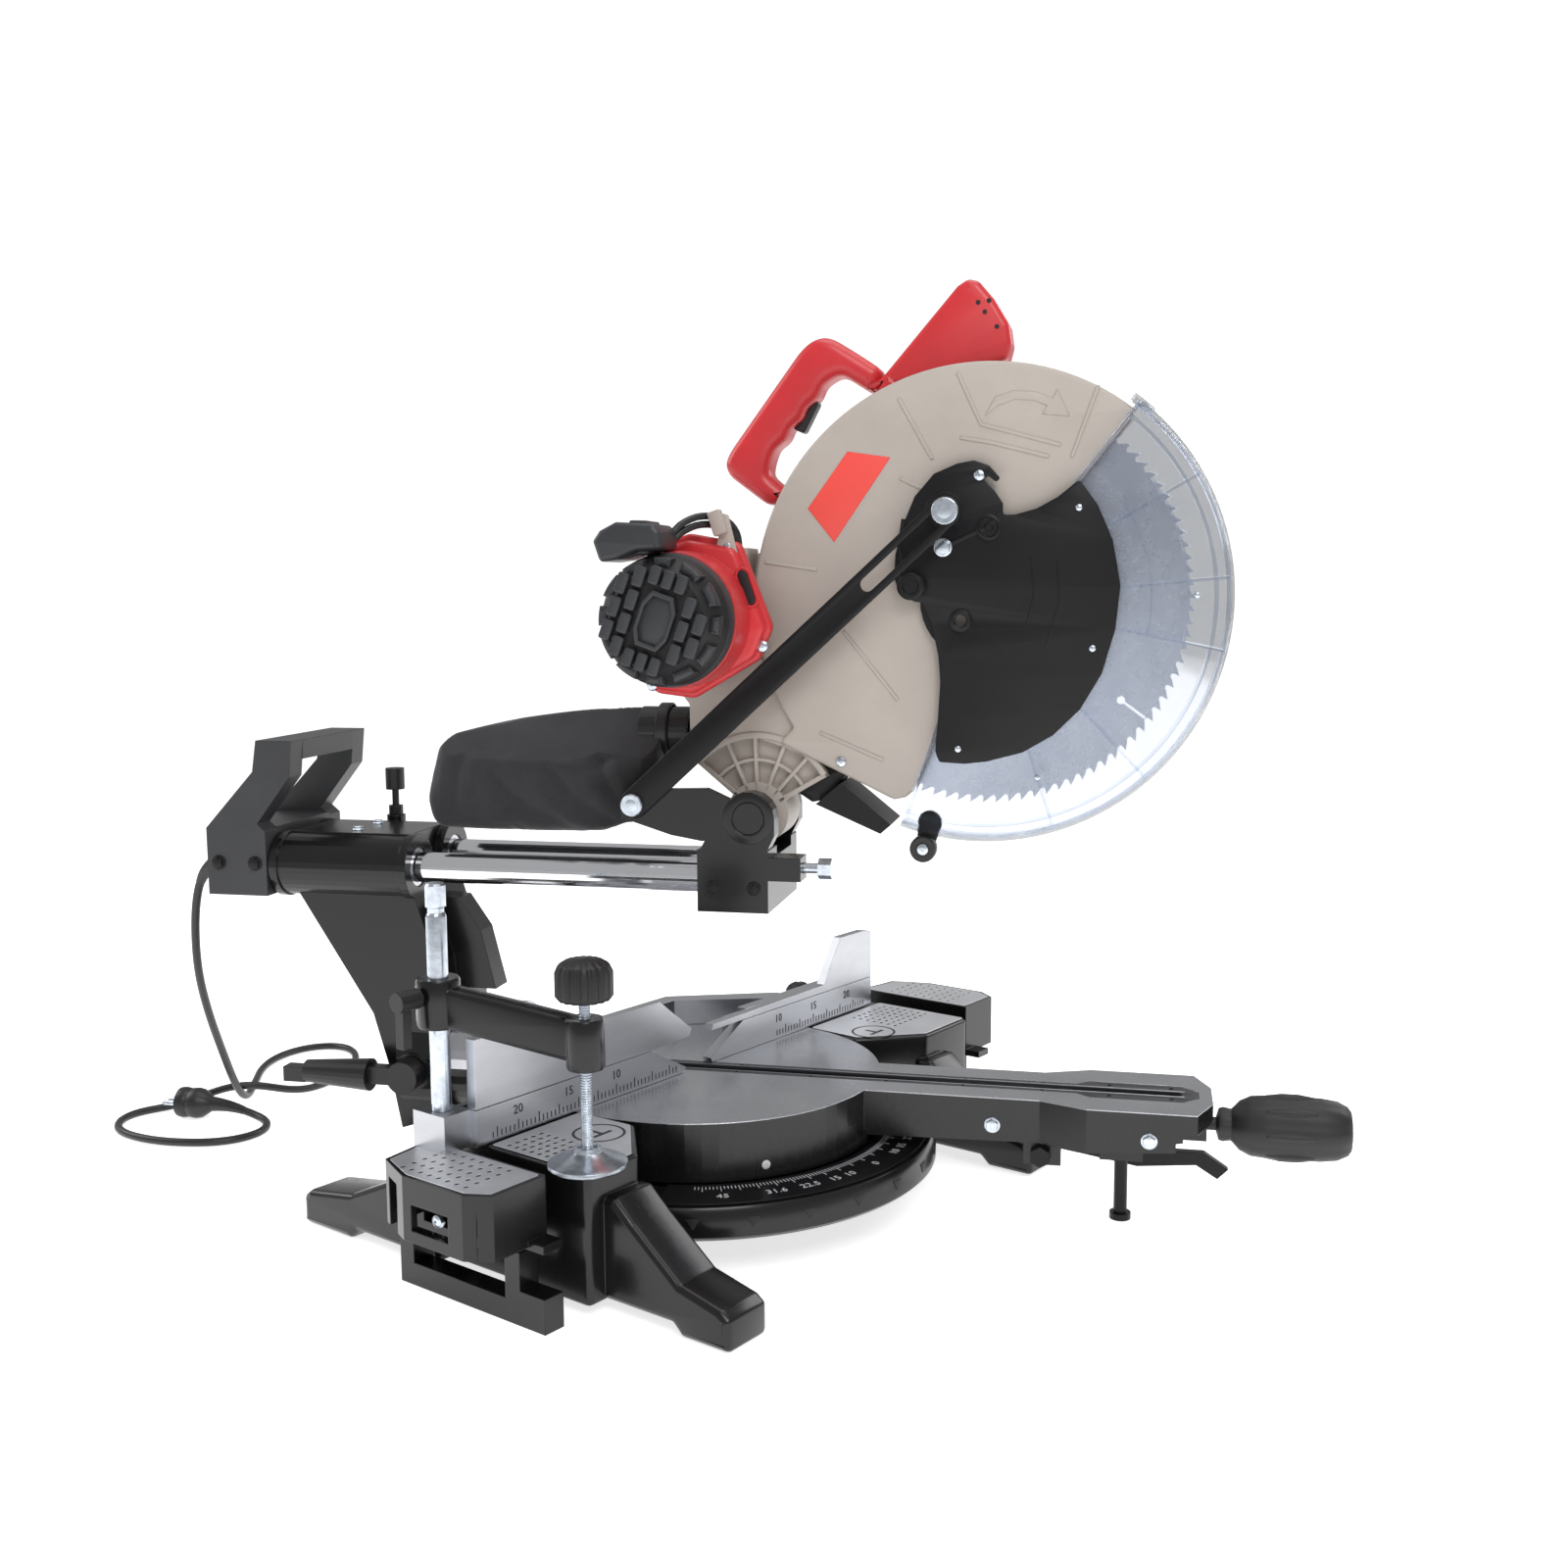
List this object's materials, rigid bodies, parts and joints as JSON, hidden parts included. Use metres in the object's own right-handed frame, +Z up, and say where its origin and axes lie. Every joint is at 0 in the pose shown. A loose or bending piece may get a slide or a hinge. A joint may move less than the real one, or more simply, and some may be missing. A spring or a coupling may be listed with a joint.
{
  "type": "sliding compound miter saw",
  "caption": "Free-standing sliding compound miter saw: turntable base with fences and side supports, two slide rails, and a raised chop head with blade, guards, motor and handle.",
  "frame": {"origin": "middle of the underside of the saw, on the surface it stands on, measured without the mains cord", "axes": "+Z up; +X to the operator's right; +Y from the front edge to the back. The table's arm is turned 25 degrees to the operator's right of -Y. The arm with the rails is the longest extent and runs mostly along Y."},
  "size_m": [0.644, 1.0622, 0.709],
  "materials": {
    "black_paint": "gloss",
    "grey_paint": "satin",
    "beige_paint": "satin",
    "machined_aluminium": "brushed",
    "steel": "ground",
    "chromed_steel": "polished",
    "zinc_plate": "plated",
    "red_plastic": "gloss",
    "black_plastic": "matte",
    "grey_plastic": "matte",
    "clear_plastic": "clear",
    "rubber": "matte",
    "fabric": "woven"
  },
  "bodies": {
    "base": {"base_casting": "black_paint", "miter_scale": "black_plastic", "turntable_bolt": "zinc_plate", "fence_casting": "machined_aluminium"},
    "upper_fence_left": {"upper_fence_left": "machined_aluminium"},
    "upper_fence_right": {"upper_fence_right": "machined_aluminium"},
    "fence_knob_left": {"fence_knob_left": "black_plastic"},
    "fence_knob_right": {"fence_knob_right": "black_plastic"},
    "side_support_left": {"side_support_left": "black_paint"},
    "side_support_right": {"side_support_right": "black_paint"},
    "clamp_post": {"clamp_post": "zinc_plate"},
    "clamp_arm": {"clamp_arm": "black_paint"},
    "clamp_lock_screw": {"clamp_lock_screw": "black_plastic"},
    "clamp_screw": {"clamp_screw": "zinc_plate", "clamp_knob": "black_plastic"},
    "clamp_pad": {"clamp_pad": "zinc_plate"},
    "table": {"turntable": "black_paint", "kerf_plate": "grey_plastic", "miter_pointer": "steel"},
    "miter_lock_handle": {"miter_lock_handle": "rubber"},
    "detent_lever": {"detent_lever": "black_paint"},
    "tip_leg": {"tip_leg": "black_plastic"},
    "bevel_arm": {"bevel_arm": "black_paint", "rail_bush_left": "steel", "rail_bush_right": "steel"},
    "bevel_lock_lever": {"bevel_lock_lever": "black_plastic"},
    "rail_lock_screw": {"rail_lock_screw": "black_plastic"},
    "carriage": {"rail_left": "chromed_steel", "rail_right": "chromed_steel", "rear_bracket": "grey_paint", "pivot_bracket": "black_paint", "pivot_pin": "steel", "return_spring": "steel", "link_low_bolt": "zinc_plate", "cord": "rubber", "cord_coil": "rubber", "cord_plug": "rubber"},
    "depth_stop_screw": {"depth_stop_screw": "zinc_plate"},
    "guard_link": {"guard_link": "black_paint"},
    "link_bolt": {"link_top_bolt": "zinc_plate"},
    "head": {"head_casting": "beige_paint", "drive_cover": "beige_paint", "drive_belt": "rubber", "motor_housing": "red_plastic", "motor_end_cap": "grey_plastic", "switch_box": "grey_plastic", "chip_deflector": "black_plastic", "handle": "red_plastic", "dust_port": "black_plastic", "dust_bag": "fabric"},
    "trigger": {"trigger": "black_plastic"},
    "lock_off_button": {"lock_off_button": "black_plastic"},
    "motor_armature": {"motor_armature": "steel"},
    "blade": {"arbor": "steel", "outer_flange": "steel", "arbor_bolt": "zinc_plate", "saw_blade": "steel"},
    "lower_guard": {"guard_carrier": "black_paint", "clear_guard": "clear_plastic"},
    "guard_roller": {"guard_roller": "rubber"}
  },
  "joints": [
    {"name": "miter_turn", "type": "hinge", "parent": "base", "child": "table", "pos_m": [-0.018, 0.03858, 0.1], "axis": [0, 0, 1], "range_deg": [-70, 20]},
    {"name": "miter_lock_turn", "type": "hinge", "parent": "table", "child": "miter_lock_handle", "pos_m": [0.16795, -0.36019, 0.079], "axis": [0.4226, -0.9063, 0], "range_deg": [-90, 0]},
    {"name": "detent_press", "type": "hinge", "parent": "table", "child": "detent_lever", "pos_m": [0.09653, -0.20702, 0.058], "axis": [0.9063, 0.4226, 0], "range_deg": [0, 6], "stiffness_Nm_per_rad": 4, "springref_deg": -5.73},
    {"name": "tip_leg_adjust", "type": "slide", "parent": "table", "child": "tip_leg", "axis": [0, 0, 1], "range_m": [0, 0.015]},
    {"name": "bevel_tilt", "type": "hinge", "parent": "table", "child": "bevel_arm", "pos_m": [-0.11098, 0.23797, 0.1], "axis": [0.4226, -0.9063, 0], "range_deg": [0, 45]},
    {"name": "bevel_lock_lift", "type": "hinge", "parent": "bevel_arm", "child": "bevel_lock_lever", "pos_m": [-0.16789, 0.21805, 0.098], "axis": [0.9063, 0.4226, 0], "range_deg": [0, 35]},
    {"name": "rail_lock_turn", "type": "hinge", "parent": "bevel_arm", "child": "rail_lock_screw", "pos_m": [-0.0909, 0.31795, 0.3], "axis": [0, 0, 1], "range_deg": [0, 180]},
    {"name": "rail_slide", "type": "slide", "parent": "bevel_arm", "child": "carriage", "axis": [0.4226, -0.9063, 0], "range_m": [-0.228, 0]},
    {"name": "depth_stop_turn", "type": "hinge", "parent": "carriage", "child": "depth_stop_screw", "pos_m": [-0.01712, -0.06031, 0.271], "axis": [0.4226, -0.9063, 0], "range_deg": [0, 180]},
    {"name": "chop", "type": "hinge", "parent": "carriage", "child": "head", "pos_m": [0.00398, -0.00854, 0.309], "axis": [0.9063, 0.4226, 0], "range_deg": [0, 58.8], "stiffness_Nm_per_rad": 12, "springref_deg": -126.05},
    {"name": "guard_link_swing", "type": "hinge", "parent": "carriage", "child": "guard_link", "pos_m": [-0.08348, 0.04887, 0.318], "axis": [0.9063, 0.4226, 0], "range_deg": [0, 59]},
    {"name": "link_bolt_slide", "type": "slide", "parent": "guard_link", "child": "link_bolt", "axis": [0.3118, -0.6686, 0.6752], "range_m": [-0.064, 0]},
    {"name": "lower_guard_turn", "type": "hinge", "parent": "head", "child": "lower_guard", "pos_m": [0.05087, -0.17536, 0.471], "axis": [0.9063, 0.4226, 0], "range_deg": [-130, 0]},
    {"name": "guard_roller_spin", "type": "hinge", "parent": "lower_guard", "child": "guard_roller", "pos_m": [0.04176, -0.13216, 0.285], "axis": [0.9063, 0.4226, 0], "continuous": true},
    {"name": "blade_spin", "type": "hinge", "parent": "head", "child": "blade", "pos_m": [0.07624, -0.16352, 0.471], "axis": [0.9063, 0.4226, 0], "continuous": true},
    {"name": "motor_spin", "type": "hinge", "parent": "head", "child": "motor_armature", "pos_m": [-0.069, 0.00598, 0.458], "axis": [0.9063, 0.4226, 0], "continuous": true},
    {"name": "trigger_pull", "type": "hinge", "parent": "head", "child": "trigger", "pos_m": [0.05342, -0.02466, 0.6286], "axis": [0.9063, 0.4226, 0], "range_deg": [0, 6], "stiffness_Nm_per_rad": 1, "springref_deg": -17.19},
    {"name": "lock_off_press", "type": "slide", "parent": "head", "child": "lock_off_button", "axis": [-0.9063, -0.4226, 0], "range_m": [0, 0.003], "stiffness_N_per_m": 600, "springref_m": -0.004},
    {"name": "upper_fence_left_slide", "type": "slide", "parent": "base", "child": "upper_fence_left", "axis": [-1, 0, 0], "range_m": [0, 0.03]},
    {"name": "upper_fence_right_slide", "type": "slide", "parent": "base", "child": "upper_fence_right", "axis": [1, 0, 0], "range_m": [0, 0.04]},
    {"name": "fence_knob_left_turn", "type": "hinge", "parent": "base", "child": "fence_knob_left", "pos_m": [-0.194, 0.06858, 0.121], "axis": [0, 1, 0], "range_deg": [0, 90]},
    {"name": "fence_knob_right_turn", "type": "hinge", "parent": "base", "child": "fence_knob_right", "pos_m": [0.153, 0.06858, 0.121], "axis": [0, 1, 0], "range_deg": [0, 90]},
    {"name": "side_support_left_slide", "type": "slide", "parent": "base", "child": "side_support_left", "axis": [-1, 0, 0], "range_m": [-0.005, 0.045]},
    {"name": "side_support_right_slide", "type": "slide", "parent": "base", "child": "side_support_right", "axis": [1, 0, 0], "range_m": [-0.024, 0.05]},
    {"name": "clamp_swing", "type": "hinge", "parent": "base", "child": "clamp_post", "pos_m": [-0.268, 0.06058, 0.12], "axis": [0, 0, 1], "range_deg": [-15, 12]},
    {"name": "clamp_arm_slide", "type": "slide", "parent": "clamp_post", "child": "clamp_arm", "axis": [0, 0, 1], "range_m": [0, 0.025]},
    {"name": "clamp_lock_turn", "type": "hinge", "parent": "clamp_arm", "child": "clamp_lock_screw", "pos_m": [-0.288, 0.06058, 0.208], "axis": [1, 0, 0], "range_deg": [-90, 0]},
    {"name": "clamp_screw_travel", "type": "slide", "parent": "clamp_arm", "child": "clamp_screw", "axis": [0, 0, 1], "range_m": [0, 0.03]},
    {"name": "clamp_pad_swivel", "type": "hinge", "parent": "clamp_screw", "child": "clamp_pad", "pos_m": [-0.237, -0.04742, 0.106], "axis": [0, 0, 1], "continuous": true}
  ],
  "couplings": [
    {"joint": "guard_link_swing", "follows": "chop", "ratio": 1},
    {"joint": "link_bolt_slide", "follows": "chop", "m_per_rad": -0.0591},
    {"joint": "lower_guard_turn", "follows": "chop", "ratio": -2.2},
    {"joint": "motor_spin", "follows": "blade_spin", "ratio": 1.6667}
  ]
}
